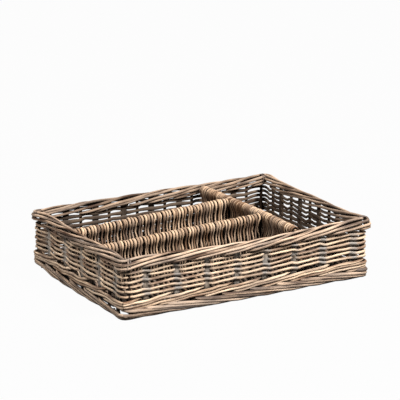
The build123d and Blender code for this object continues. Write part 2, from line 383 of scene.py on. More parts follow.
# %% What a row's place on the girth decides
ROW_STEP = 2.2
RIB_THIN = 1.7  # an upright with a smaller half thickness is a rib
WORN_REACH, WORN_GAIN, RIB_REACH = 9, 1.7, 18  # how far rows are worn, and thicker, beside a rib
RIGHT_CLOSED, BACK_CLOSED = (45, 60), (28, 46)  # where rows lie close: from the corner, and reach
LEFT_SWING = 0.5  # share of the swing that the left wall's rows have
EDGE_POWER = 0.2  # how abruptly what belongs to one wall starts and ends there
loop = girth_steps(-X_MID, GIRTH - X_MID, ROW_STEP)
on_wall, upright_wall = wall_at(loop), wall_at(UPRIGHT_G)
is_rib = UPRIGHT_T < RIB_THIN
row_side = np.where(is_rib, np.sign(UPRIGHT_U), -np.sign(UPRIGHT_U))
worn = np.clip(near(loop, UPRIGHT_G[is_rib], WORN_REACH) * WORN_GAIN, 0, 1)
by_rib = near(loop, UPRIGHT_G[is_rib], RIB_REACH)
closed = near(loop, [CORNERS[1] + RIGHT_CLOSED[0]], RIGHT_CLOSED[1])
back_end = near(loop, [CORNERS[3] - BACK_CLOSED[0]], BACK_CLOSED[1])
on_left = LEFT_SWING * near(loop, [CORNERS[3] + Y_MID], Y_MID) ** EDGE_POWER
on_back = near(loop, [CORNERS[2] + X_MID], X_MID) ** EDGE_POWER
print(len(loop), "rings in a row;", is_rib.sum(), "ribs")

# %% Open rows of weaving
# For each wall: half the height of a row, open, at a rib and low down; its half thickness; the rise
# of a stroke; and the share of the ribs that a row lies over
ROW_R = np.array([1.75, 1.95, 2.3, 1.5])
ROW_R_RIB = np.array([1.9, 2.8, 3.1, 1.7])
ROW_R_LOW = np.array([1.8, 2.6, 3.2, 1.55])
ROW_FLAT = np.array([1.7, 1.8, 1.8, 1.3])
ROW_RISE = np.array([2.2, 3.6, 1.7, 0.9])
OVER_RIB = np.array([0.7, 0.3, 0.9, 0.65])
LOW_OVER, LOW_ROWS = 0.25, 2  # the lowest rows lie over more of them
ROW_DEEP, HIDE, SWING, DIP = 1.8, 0.9, 5.2, 8.0  # how a row stands off, hides, swings and dips
CLOSED_MORE, BACK_END_MORE, CLOSED_LEVEL = 1.3, 1.1, 0.8  # thicker and more level where close
BACK_HIGHER = 3.0
CORNER_IN, CORNER_REACH = 1.5, 9  # rows set back at every corner
NEAR_CORNER, NEAR_REACH = 3.0, 13  # and more at the near one
NOTCH, NOTCH_AT, NOTCH_REACH = 3.5, (8.5, 4.0), 4  # dents past a corner, for even and odd rows
RISE_SPREAD, ROW_HIDDEN = (0.2, 1.6), 0.1  # of a stroke: its share of the rise, and its fall
ROW_WANDER, ROW_WAVE, SHIVER, ROW_UNEVEN = 0.2, 0.3, (0.12, 30, 70), (0.035, 8, 60)  # sways
ROW_TONE, ROW_GREY = (0, 1.0), (0, 0.3)
WORN_GREY, WORN_PATCHY, WORN_MOST = 0.75, (0.3, 20, 60), 0.95
row_nodes = sorted(n for n in frame["nodes"] if n.startswith("front_weaver_"))
stake_u = np.where(is_rib, np.roll(UPRIGHT_U, 1), UPRIGHT_U)
stake_r = UPRIGHT_T[~is_rib].mean()
inside_u = UPRIGHT_U - row_side * (UPRIGHT_T + ROW_DEEP) * HIDE
main, index = past_uprights(loop, stake_u + row_side * (stake_r + ROW_DEEP))
hide, _ = past_uprights(loop, inside_u)
swing, _ = past_uprights(loop, np.where(is_rib, inside_u, UPRIGHT_U + row_side * SWING))
share, number = ((index - 1) / 2) % 1, ((index - 1) // 2).astype(int)
for k, node in enumerate(row_nodes):
    level = middle([np.array(c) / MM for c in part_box(node)])[2]
    over = OVER_RIB[upright_wall] + (LOW_OVER if k < LOW_ROWS else 0.0)
    behind = is_rib & (rng.random(COUNT) > over)
    dip = near(loop, UPRIGHT_G[behind], DIP)
    u = main * (1 - dip) + hide * dip
    u = u * (1 - on_left) + swing * on_left + sway(loop, ROW_WANDER)
    u = u - CORNER_IN * near(loop, CORNERS, CORNER_REACH)
    u = u - NOTCH * near(loop, CORNERS + NOTCH_AT[k % 2], NOTCH_REACH)
    u = u - NEAR_CORNER * near(loop, CORNERS[:1], NEAR_REACH)
    rise = ROW_RISE[on_wall] * rng.uniform(*RISE_SPREAD, COUNT)[number]
    rise = rise * (1 - CLOSED_LEVEL * closed)
    z = level + rise * (stroke(share, ROW_HIDDEN) - 0.5)
    z = z + sway(loop, ROW_WAVE) + sway(loop, *SHIVER)
    z = z + BACK_HIGHER * on_back * (k + 1) / len(row_nodes)
    path = around(loop, u, z)
    open_r = ROW_R_LOW if k < len(row_nodes) // 2 else ROW_R
    tall = open_r[on_wall] + np.clip(ROW_R_RIB - open_r, 0, None)[on_wall] * by_rib
    if node != row_nodes[-1]:
        tall = tall + CLOSED_MORE * closed + BACK_END_MORE * back_end
    tall = even(tall) * (1 + sway(loop, *ROW_UNEVEN))
    rings = ring_tube(path, tall, width=even(ROW_FLAT[on_wall]), round_it=1.0)
    grey = rng.uniform(*ROW_GREY)
    grey = grey + worn * np.clip(WORN_GREY + sway(loop, *WORN_PATCHY), 0, WORN_MOST)
    share_out(node.split("_", 1)[1], loop, rings, lengths(path), rng.normal(*ROW_TONE), grey)
print(len(row_nodes), "rows; uprights at u", sorted(set(np.round(UPRIGHT_U, 1))))

# %% [markdown]
# The wale is the tight band under the open rows. Four canes are worked together: each passes
# outside several uprights, rising as it goes, then dives behind one and comes out at the bottom of
# the band again. A twisted rope would look alike from afar, but would not hold the uprights. The
# same smooth line as for the rows gives the band its rope-like slant.

# %% Wale
WALE_R, WALE_TONE, WALE_GREY = 1.95, (-0.1, 0.7), (0, 0.4)
WALE_SET, WALE_PRESS = 0.8, 0.9  # shares of an upright's offset and thickness that a strand clears
WALE_INSIDE, WALE_HIDDEN = 0.45, 0.045  # shares in which a strand is inside, and falls back
WALE_DROP, WALE_MORE = 2.0, 2.4  # the band starts lower than the solids' and is higher
WALE_WAVE, WALE_WANDER, WALE_UNEVEN = 0.35, 0.2, (0.04, 8, 60)  # sways
wale_boxes = sorted(rod_boxes("front_wale"), key=lambda b: b[0][2])
WALE_COUNT = len(wale_boxes)
WALE_LOW, WALE_HIGH = wale_boxes[0][0][2], wale_boxes[-1][1][2]
climb_high = WALE_HIGH - WALE_LOW - 2 * WALE_R + WALE_MORE
CLIMBS = round(COUNT / 2 / WALE_COUNT)
for k in range(WALE_COUNT):
    phase = ((np.arange(COUNT) - 1) / COUNT * CLIMBS + k / WALE_COUNT) % 1
    inside = np.abs((phase + 0.5) % 1 - 0.5) < WALE_INSIDE * CLIMBS / COUNT * 2
    clear = np.where(inside, -1, 1) * (UPRIGHT_T * WALE_PRESS + WALE_R)
    u, index = past_uprights(loop, UPRIGHT_U * WALE_SET + clear)
    climb = stroke(((index - 1) / COUNT * CLIMBS + k / WALE_COUNT) % 1, WALE_HIDDEN)
    z = WALE_LOW + WALE_R - WALE_DROP + climb_high * climb
    z = z + sway(loop, WALE_WAVE) + sway(loop, *SHIVER)
    path = around(loop, u + sway(loop, WALE_WANDER), z)
    rings = ring_tube(path, WALE_R * (1 + sway(loop, *WALE_UNEVEN)))
    tone, grey = rng.normal(*WALE_TONE), rng.uniform(*WALE_GREY)
    share_out("wale", loop, rings, lengths(path), tone, grey)
print(WALE_COUNT, "wale canes over", round(WALE_HIGH - WALE_LOW, 1), "mm")

# %% [markdown]
# The rim is rolled: one rod after another starts between the uprights, climbs the outer face on a
# long slant, crosses the top and falls inside, each lying against the one before. An array along a
# curve would repeat one rod exactly; here each has its own start, lay and thickness. The section of
# the roll comes from the solids' box, as straight sides with half an ellipse on top. Two thin ties
# hold the roll at every corner.

# %% Section of the roll
RIM_R = 1.9
RIM_RAISED, ARCH = 0.5, 5.0  # rods' lowest place above the solids' edge, and the ellipse's height
CROWN_FROM, CROWN_TO, CROWN_ARC = 0.4, 0.6, 0.25  # a rod is quick on the sides and slow on top
rim_low = rim_box["front"][0][2] + RIM_R + RIM_RAISED
rim_top = rim_box["front"][1][2] - RIM_R
rim_reach = (rim_box["front"][1][1] - rim_box["front"][0][1]) / 2 - RIM_R


def rim_section(t):
    """(u, z) of the roll's section for t from 0, outside low, to 1, inside low."""
    side = rim_top - ARCH - rim_low
    arc = math.pi * math.sqrt((rim_reach ** 2 + ARCH ** 2) / 2)
    crown = [side + CROWN_ARC * arc, side + (1 - CROWN_ARC) * arc]
    p = np.interp(t, [0, CROWN_FROM, CROWN_TO, 1], [0, *crown, 2 * side + arc])
    bend = np.clip((p - side) / arc, 0, 1) * math.pi
    u = rim_reach * np.cos(bend)
    z = rim_top - ARCH + ARCH * np.sin(bend)
    z = z - np.clip(side - p, 0, None) - np.clip(p - side - arc, 0, None)
    return u, z


print("half width of the roll:", round(rim_reach, 1), "mm")

# %% Rolled rim
ROLL_SPACING, ROLL_STEP = 41.0, 3.0  # from one rod's start to the next, and between two rings
RIM_COUNT = round(GIRTH / ROLL_SPACING)
RIM_LAY = 250.0  # length of a rod from its start outside to its end inside
RIM_START_SPREAD, RIM_LAY_SPREAD, RIM_WANDER = 2.5, 0.03, 0.35
RIM_TONE, RIM_GREY, RIM_SIDES = (0.2, 0.75), (0, 0.4), 12
TUCK_REACH, TUCK_IN, TAIL_OUT, TUCK_DOWN = 16, 5.0, 3.0, 0.5  # a rod's ends go into the weaving
PROUD, PROUD_AT, PROUD_WIDE = (0, 0.8), 0.24, 0.1  # some rods stand out on the outer face
CREST, CREST_AT, CREST_WIDE = (-0.2, 0.4), 0.5, 0.07  # or on top
RIM_CORNER, RIM_CORNER_REACH = 0.8, 16  # the roll is wider at a corner
RIM_TAPER, RIM_POINT, RIM_POINT_REACH, RIM_THICK = (1.08, 0.06), 0.4, 10, (0.92, 1.06)


def fade(distance, reach):
    """1 at distance 0, falling straight to 0 at reach."""
    return np.clip(1 - distance / reach, 0, 1)


def hump(t, at, width):
    """A bell of height 1."""
    return np.exp(-((t - at) / width) ** 2)


for k in range(RIM_COUNT):
    start = k * (GIRTH / RIM_COUNT) + rng.normal(0, RIM_START_SPREAD)
    lay = RIM_LAY * (1 + rng.normal(0, RIM_LAY_SPREAD))
    g = girth_steps(start, start + lay, ROLL_STEP)
    t = (g - start) / lay
    u, z = rim_section(t)
    tuck, tail = (fade(d, TUCK_REACH) ** 2 for d in (g - start, start + lay - g))
    u = u - TUCK_IN * tuck + TAIL_OUT * tail
    u = u + rng.uniform(*PROUD) * hump(t, PROUD_AT, PROUD_WIDE)
    z = z - TUCK_DOWN * tuck + sway(g, RIM_WANDER)
    z = z + rng.uniform(*CREST) * hump(t, CREST_AT, CREST_WIDE)
    path = around(g, u + RIM_CORNER * near(g, CORNERS, RIM_CORNER_REACH), z)
    radius = RIM_R * (RIM_TAPER[0] - RIM_TAPER[1] * t)
    radius = radius * (1 - RIM_POINT * fade(g - start, RIM_POINT_REACH)) * rng.uniform(*RIM_THICK)
    rings = ring_tube(path, radius, sides=RIM_SIDES)
    tone, grey = rng.normal(*RIM_TONE), rng.uniform(*RIM_GREY)
    share_out("rim", g, rings, lengths(path), tone, grey)
print(RIM_COUNT, "rim rods")

# %% Ties over the rim at the corners
TIE_R, TIE_BESIDE, TIE_SKEW = 1.15, (4.5, 8.0), 1.5
TIE_TONE, TIE_GREY = (-1.4, 0.6), 0.4
TIE_FROM, TIE_TO, TIE_RINGS = 0.04, 0.96, 40  # on the section
for i, wall in enumerate(WALLS):
    along_wall = (math.cos(i * QUARTER), math.sin(i * QUARTER), 0)
    for beside in TIE_BESIDE:
        t = np.linspace(TIE_FROM, TIE_TO, TIE_RINGS)
        u, z = rim_section(t)
        g = CORNERS[i] + beside + rng.normal(0, TIE_SKEW) * (t - 0.5) * 2
        path = around(g, u * (1 + TIE_R / rim_reach), z + TIE_R * np.sin(math.pi * t))
        rings = ring_tube(path, TIE_R, along_wall)
        add_cane(f"{wall}_rim", rings, lengths(path), rng.normal(*TIE_TONE), TIE_GREY)
print(len(WALLS) * len(TIE_BESIDE), "ties")

# %% [markdown]
# The foot is rolled too, the other way: a rod starts under the wale and falls to the floor, where
# the next one lies over it. Straight bars would make a plinth; the slanting rods leave thin gaps
# under the wale that let light through. At the back left corner the worn foot is off the floor, and
# beside the near corner rods that start low leave an opening under the left wall. A bearer inside
# each wall carries the base, and two of them stop short of that opening.

# %% Rolled foot
FOOT_R, FOOT_TONE, FOOT_GREY = 2.45, (-0.4, 0.8), (0.1, 0.5)
FOOT_COUNT = round(GIRTH / ROLL_SPACING)
FOOT_PITCH = GIRTH / FOOT_COUNT
FOOT_PITCHES, FOOT_START_SPREAD, NEAR_START = 3.3, 3, 24  # a rod's length, and where rods start
FOOT_LAY = FOOT_PITCHES * FOOT_PITCH
FOOT_ABOVE, FOOT_FALL = 3.5, 1.28  # a rod's start over the solids' highest, and how it falls
FOOT_TUCK, FOOT_TUCK_REACH = 3.5, 12
FOOT_UNDER, FOOT_UNDER_FROM = 1.8, 0.65  # the last part goes under the next rods
FOOT_LIFT, FOOT_LIFT_IN, FOOT_LIFT_REACH = 5.0, 2.0, 58  # at the back left corner
LOW_START, LOW_START_REACH = 42, 36  # before the near corner
FOOT_POINT, FOOT_POINT_REACH, FOOT_POINT_POWER = 0.3, 6, 4  # a rod is thinner at both its ends
FOOT_SLIM_LEFT, SLIM_POWER = 0.2, 0.3  # and on the left wall
foot_box = [np.array(c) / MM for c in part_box("front_foot_border")]
foot_u = place_on("front", middle(foot_box))[1]
foot_high = foot_box[1][2] - FOOT_R
foot_starts = [k * FOOT_PITCH + rng.normal(0, FOOT_START_SPREAD) for k in range(FOOT_COUNT)]
foot_starts += [CORNERS[0], CORNERS[0] + NEAR_START]  # two more at the near corner
for start in foot_starts:
    g = girth_steps(start, start + FOOT_LAY, ROLL_STEP)
    f = (g - start) / FOOT_LAY
    under = np.clip((f - FOOT_UNDER_FROM) / (1 - FOOT_UNDER_FROM), 0, 1)
    u = foot_u - FOOT_TUCK * fade(g - start, FOOT_TUCK_REACH) ** 2 - FOOT_UNDER * under ** 2
    high_start = 1 - near(start, [WALL_START[4] - LOW_START], LOW_START_REACH)
    fall = np.clip(1 - FOOT_FALL * f, 0, 1)
    z = FOOT_R + (foot_high + FOOT_ABOVE - FOOT_R) * high_start * fall
    off_floor = near(g, [CORNERS[3]], FOOT_LIFT_REACH)
    z = z + FOOT_LIFT * off_floor * np.clip((foot_high - z) / (foot_high - FOOT_R), 0, 1)
    path = around(g, u - FOOT_LIFT_IN * off_floor, z)
    radius = FOOT_R * (1 - FOOT_POINT * fade(g - start, FOOT_POINT_REACH))
    radius = radius * (1 - FOOT_POINT * f ** FOOT_POINT_POWER)
    on_left_wall = near(g, [CORNERS[3] + Y_MID], Y_MID) ** SLIM_POWER
    radius = radius * (1 - FOOT_SLIM_LEFT * on_left_wall)
    rings = ring_tube(path, radius)
    tone, grey = rng.normal(*FOOT_TONE), rng.uniform(*FOOT_GREY)
    share_out("foot_border", g, rings, lengths(path), tone, grey)
print("foot rods:", len(foot_starts))

# %% Bearers inside the foot
NEAR_OPEN = {"left": 42.0, "front": 16.0}  # bearers that stop short of the near corner's opening
BEARER_TONE, BEARER_GREY, ROD_RINGS = (0, 0.5), 0.4, 60
for wall in WALLS:
    node = f"{wall}_foot_bearer"
    low, high = (np.array(c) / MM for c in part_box(node))
    mid = (low + high) / 2
    ends = np.array([mid, mid])
    axis = int(np.argmax(high - low))
    ends[:, axis] = low[axis] + NEAR_OPEN.get(wall, 0.0), high[axis]
    path = ends[0] + np.linspace(0, 1, ROD_RINGS)[:, None] * (ends[1] - ends[0])
    rings = ring_tube(path, (high[2] - low[2]) / 2)
    add_cane(node, rings, lengths(path), rng.normal(*BEARER_TONE), BEARER_GREY)
print("bearers:", len(WALLS))

# %% [markdown]
# The base is a mat: sticks along it, and canes across that go over one stick and under the next,
# three side by side. A flat sheet with a woven bump would do from above, but light falls through a
# real mat. The canes' places come from the solids, and they reach on into the wall.

# %% Base
BASE_REACH = 8.0
STICK_TONE, STICK_GREY, STICK_WANDER, STICK_RINGS = (0, 0.6), 0.3, 0.4, 90
BASE_TONE, BASE_GREY, BASE_WANDER, BASE_RINGS = (-0.2, 0.7), (0, 0.4), 0.15, 80
ABREAST, CLOSE = 3, 5.9  # canes in one pitch, and the pitch over a cane's radius
stick_boxes = sorted(rod_boxes("base_sticks"), key=lambda b: b[0][1])
stick_y = np.array([middle(b)[1] for b in stick_boxes])
base_z = middle(stick_boxes[0])[2]
for box in stick_boxes:
    x = np.linspace(box[0][0] - BASE_REACH, box[1][0] + BASE_REACH, STICK_RINGS)
    y = middle(box)[1] + sway(x, STICK_WANDER)
    path = np.stack([x, y, np.full_like(x, base_z)], axis=1)
    rings = ring_tube(path, (box[1][2] - box[0][2]) / 2)
    add_cane("base_sticks", rings, lengths(path), rng.normal(*STICK_TONE), STICK_GREY)

cross_boxes = sorted(rod_boxes("base_weavers"), key=lambda b: b[0][0])
cross_r = (cross_boxes[0][1][0] - cross_boxes[0][0][0]) / 2
cross_pitch = middle(cross_boxes[1])[0] - middle(cross_boxes[0])[0]
lift = (cross_boxes[0][1][2] - cross_boxes[0][0][2]) / 2 - cross_r


def base_cane(k, box, beside, short=0.0):
    """A cane across the base, beside a box's middle by so many places of ABREAST."""
    y = np.linspace(box[0][1] - BASE_REACH + short, box[1][1] + BASE_REACH, BASE_RINGS)
    knots = np.concatenate([[y[0]], stick_y, [y[-1]]])
    part = np.clip(np.searchsorted(knots, y, side="right") - 1, 0, len(knots) - 2)
    f = (1 - np.cos(math.pi * (y - knots[part]) / (knots[part + 1] - knots[part]))) / 2
    sides = [1 if (j + k + beside) % 2 else -1 for j in range(len(stick_y))]
    heights = lift * np.array([-1] + sides + [-1])
    z = base_z + heights[part] * (1 - f) + heights[part + 1] * f
    x = middle(box)[0] + beside * cross_pitch / ABREAST + sway(y, BASE_WANDER)
    path = np.stack([x, y, z], axis=1)
    rings = ring_tube(path, cross_pitch / CLOSE)
    tone, grey = rng.normal(*BASE_TONE), rng.uniform(*BASE_GREY)
    add_cane("base_weavers", rings, lengths(path), tone, grey)


for k, box in enumerate(cross_boxes):
    for beside in (-1, 0, 1):
        base_cane(k, box, beside)
print(len(stick_boxes), "base sticks,", len(canes["base_weavers"]), "base canes")

# %% [markdown]
# A divider is a rail, a middle rod and a sill with canes hung over them. Each cane makes a loop
# over the rail, and its two legs lean in below the rail and swell out again round the middle rod,
# which is the wiggle that shows on the dividers' sides. Copies of one cane would stand like a comb,
# so each is drawn by itself. They hang closer than the solids' strands, finest on the cross
# divider. The long dividers' ridges rise a little to the right, where they reach the cross
# divider's, which rises from its front end.

# %% Rails and rods of the dividers
DIVIDERS = {"cross": 1, "back": 0, "front": 0}  # the axis that each runs along
RIDGE = {"cross": (3.0, 0.35), "back": (2.4, 1.0), "front": (0.8, 1.0)}  # lift, and share it takes
ROD_THICK, ROD_TONE, ROD_GREY = 1.05, (0, 0.5), 0.2
NODE_SLACK, END_SLACK = 0.01, 0.5  # how close a point is to its rod's box, or to the rod's end


def ridge_lift(name, f):
    """How far a divider's ridge stands above the straight rail, for f from 0 to 1 along it."""
    high, within = RIDGE[name]
    return high * np.clip(f / within, 0, 1)


def add_rods(name, axis):
    for part in ("rail", "rods"):
        node = f"{name}_divider_{part}"
        points = node_points(node)
        for low, high in rod_boxes(node):
            within = (points >= low - NODE_SLACK) & (points <= high + NODE_SLACK)
            mine = points[within.all(axis=1)]
            ends = []
            for edge in (low[axis], high[axis]):
                face = mine[np.abs(mine[:, axis] - edge) < END_SLACK]
                ends.append((face.min(axis=0) + face.max(axis=0)) / 2)
            thick = (face.max(axis=0) - face.min(axis=0))[2] / 2
            f = np.linspace(0, 1, ROD_RINGS)
            path = ends[0] + f[:, None] * (ends[1] - ends[0])
            if part == "rail":
                path[:, 2] += ridge_lift(name, f)
            rings = ring_tube(path, thick * ROD_THICK)
            add_cane(node, rings, lengths(path), rng.normal(*ROD_TONE), ROD_GREY)


print("dividers:", ", ".join(DIVIDERS))

# %% Hung canes of the dividers
LEG_RADIUS = {"cross": 1.2, "back": 1.52, "front": 1.52}
DENSER = {"cross": 1.7, "back": 1.2, "front": 1.2}  # hung canes for each of the solids' strands
REACH_ON = {"cross": 0.0, "back": 4.5, "front": 12.5}  # on to the cross divider's ridge
PINCH = 1.02  # of a cane's radius: how close the two legs come
SHAKE, KINK, KINK_HIGH = 0.7, 0.6, 1.6  # spreads of a leg's wander and kink, and the kink's place
UNEVEN = 0.35  # spread of the loops' heights
LOOP_FROM, LOOP_RISE = 7, 9  # thicker and painted lighter from this far below its loop, and within
LEG_THIN, LOOP_THICK, LEG_SPREAD = 0.92, 0.38, 0.1
# A painted highlight lightens the loops' tops, and painted shade darkens a band just under them
LEG_TONE, LOOP_PAINTED_HIGHLIGHT, UNDER_LOOP, UNDER_LOOP_PAINTED_SHADE = 0.7, 0.9, 9.0, 1.8
CROSS_DARKER, LEG_GREY = 1.0, (0, 0.35)
LEG_RINGS, LOOP_RINGS, LEG_SIDES = 26, 13, 9
WANDER_LONG = 5  # radians of a cane's wander from one foot to the other


def leg_width(leg, wide, leg_r, stops):
    """Half the distance of a cane's two legs at the heights in leg, pinched between the stops."""
    pinch = np.ones_like(leg) * wide
    for low, high in zip(stops, stops[1:]):
        f = np.clip((leg - low) / (high - low), 0, 1)
        between = (leg >= low) & (leg <= high)
        pinch -= (wide - leg_r * PINCH) * np.sin(math.pi * f) ** 2 * between
    return pinch


def hang_cane(name, axis, spot, box, lift, middle_rods):
    """One cane over the rail at a spot along it, inside a strand's box."""
    node, across, leg_r = f"{name}_divider_strands", 1 - axis, LEG_RADIUS[name]
    wide = (box[1][across] - box[0][across]) / 2 - leg_r
    foot, crest = box[0][2], box[1][2] - leg_r + lift - wide
    leg = np.linspace(foot, crest, LEG_RINGS)[:-1]
    pinch = leg_width(leg, wide, leg_r, [foot] + middle_rods + [crest])
    bend = np.linspace(0, math.pi, LOOP_RINGS)
    w = np.concatenate([pinch, wide * np.cos(bend), -pinch[::-1]])
    z = np.concatenate([leg, crest + wide * np.sin(bend), leg[::-1]])
    path = np.zeros((len(w), 3))
    shake, kink = rng.normal(0, SHAKE), rng.normal(0, KINK)
    drop = np.clip((crest - z) / (crest - foot) * KINK_HIGH, 0, 1)
    wander = np.sin(np.linspace(0, WANDER_LONG, len(w)) + rng.uniform(*PHASES)) * (z < crest)
    path[:, axis] = spot + kink * np.sin(2 * math.pi * drop) + shake * wander
    path[:, across] = (box[1][across] + box[0][across]) / 2 + w
    path[:, 2] = z + rng.normal(0, UNEVEN) * np.clip((z - crest) / wide, 0, 1)
    loop_top = np.clip((z - crest + LOOP_FROM) / LOOP_RISE, 0, 1)
    radius = leg_r * (1 + rng.normal(0, LEG_SPREAD)) * (LEG_THIN + LOOP_THICK * loop_top)
    rings = ring_tube(path, radius, np.eye(3)[axis], LEG_SIDES)
    # Painted shade under the loop and the painted highlight on its top go into the cane's tone
    shaded = hump(z, crest - UNDER_LOOP, UNDER_LOOP)
    tone = rng.normal(-CROSS_DARKER * axis, LEG_TONE)
    tone = tone + LOOP_PAINTED_HIGHLIGHT * loop_top - UNDER_LOOP_PAINTED_SHADE * shaded
    add_cane(node, rings, lengths(path), tone, rng.uniform(*LEG_GREY))


print("radius of a hung cane:", LEG_RADIUS)

# %% Dividers
SPOT_SPREAD = 0.5
for name, axis in DIVIDERS.items():
    add_rods(name, axis)
    node = f"{name}_divider_strands"
    middle_rods = sorted(middle(b)[2] for b in rod_boxes(f"{name}_divider_rods"))[1:]
    boxes = np.array(sorted(rod_boxes(node), key=lambda b: b[0][axis]))
    was = boxes[:, :, axis].mean(axis=1)
    first, last = was[0], was[-1] + REACH_ON[name]
    count = round(len(was) * DENSER[name] * (last - first) / (was[-1] - first))
    spots = np.linspace(first, last, count)
    spots[1:-1] += rng.normal(0, SPOT_SPREAD, count - 2)
    for spot in spots:
        box = [[np.interp(spot, was, boxes[:, end, j]) for j in range(3)] for end in (0, 1)]
        lift_here = ridge_lift(name, (spot - first) / (last - first))
        hang_cane(name, axis, spot, box, lift_here, middle_rods)
    print(name, "divider:", len(canes[node]), "hung canes")

# %% [markdown]
# The mat's outermost canes stop short of the end walls, so two more close it at each end. Widening
# the mat's pitch would do it too, but would move every cane off its solid. At the left they start
# later than the others, and so keep the near corner's opening free.

# %% Canes that close the base at its two ends
for k, away in ((0, -1), (len(cross_boxes) - 1, 1)):
    for beside in (2, 3):
        base_cane(k, cross_boxes[k], away * beside, NEAR_OPEN["left"] if k == 0 else 0.0)
print(len(canes["base_weavers"]), "base canes in all")

# %% [markdown]
# Now each node's canes become one mesh. Every cane gets two sets of flat coordinates: one in
# metres, along and round the cane, for the grain; and one that lays the canes out side by side in a
# square, for baking. Smart UV Project could do the second, but splits a round cane into slivers. A
# long cane is cut into lengths there, so that the square is well filled.

# %% Lay cane strips out in a square
BAKE_MARGIN = 0.7
SQUARE_SPARE, SQUARE_GROW = 1.02, 1.03
CHUNK = 0.9  # of the square's side: the longest strip
CAP_SIZE = 4.2  # a cane's girth over the radius of its sawn end's disc


def lay_out(strips, margin):
    """Side of a square, and each strip's place, for strips of (length, height)."""
    area = sum((a + margin) * (b + margin) for a, b in strips)
    order = sorted(range(len(strips)), key=lambda k: (-strips[k][1], -strips[k][0]))
    side = max(math.sqrt(area) * SQUARE_SPARE, max(a for a, b in strips) + margin)
    while True:
        places = [None] * len(strips)
        x = y = row = 0.0
        for k in order:
            a, b = strips[k]
            if x + a + margin > side:
                x, y, row = 0.0, y + row, 0.0
            places[k] = (x + margin / 2, y + margin / 2)
            x += a + margin
            row = max(row, b + margin)
        if y + row <= side:
            return side, places
        side *= SQUARE_GROW


def cut_strips(node):
    """(cane, first ring, last ring, places round the cane) of every strip and end, and its size."""
    jobs, strips = [], []
    total = sum(along[-1] - along[0] for rings, along, *_ in canes[node])
    first_rings = [rings[:1] for rings, *_ in canes[node]]
    girth = np.mean([np.linalg.norm(np.diff(r, axis=1), axis=2).sum() for r in first_rings])
    chunk = math.sqrt(total * girth) * CHUNK
    for c, (rings, along, *_) in enumerate(canes[node]):
        last = len(rings) - 1
        edge = np.linalg.norm(rings - np.roll(rings, -1, axis=1), axis=2).mean(axis=0)
        rim = np.concatenate([[0], np.cumsum(edge)])
        parts = max(1, math.ceil((along[-1] - along[0]) / chunk))
        cuts = np.unique(np.linspace(0, last, parts + 1).round().astype(int))
        for p, q in zip(cuts, cuts[1:]):
            jobs.append((c, p, q, rim))
            strips.append((along[q] - along[p], rim[-1]))
        for end in (0, last):
            jobs.append((c, end, end, rim))
            strips.append((rim[-1] / 2, rim[-1] / 2))
    return jobs, strips


print("strips in the front wale:", len(cut_strips("front_wale")[1]))


# %% Smooth shading that does not stop at a saw cut
def ring_normals(rings):
    """Directions out of a tube, from each ring alone, so that two pieces of one cane agree."""
    spoke = rings - rings.mean(axis=1, keepdims=True)
    axle = np.cross(spoke[:, 0], spoke[:, rings.shape[1] // 3])[:, None, :]
    out = np.cross(np.roll(spoke, -1, axis=1) - np.roll(spoke, 1, axis=1), axle)
    return out * np.sign((out * spoke).sum(axis=2, keepdims=True))


def fill_mesh(name, points, corner, start, flats, values, facing):
    """A mesh from its points, its faces' corners and their starts, flat coordinates and values."""
    mesh = bpy.data.meshes.new(name)
    mesh.vertices.add(len(points))
    mesh.vertices.foreach_set("co", points.ravel())
    mesh.loops.add(len(corner))
    mesh.loops.foreach_set("vertex_index", corner.astype(np.int32))
    mesh.polygons.add(len(start))
    mesh.polygons.foreach_set("loop_start", start.astype(np.int32))
    mesh.polygons.foreach_set("use_smooth", np.ones(len(start), dtype=bool))
    mesh.update(calc_edges=True)
    for layer_name, flat in flats.items():
        layer = mesh.uv_layers.new(name=layer_name)
        layer.data.foreach_set("uv", np.concatenate(flat).ravel())
    for layer_name, value in values.items():
        layer = mesh.attributes.new(layer_name, "FLOAT", "POINT")
        layer.data.foreach_set("value", np.concatenate(value))
    mesh.validate()
    facing = facing / np.linalg.norm(facing, axis=1, keepdims=True)
    mesh.normals_split_custom_set_from_vertices(facing)
    return mesh


print("canes to mesh:", sum(len(rods) for rods in canes.values()))


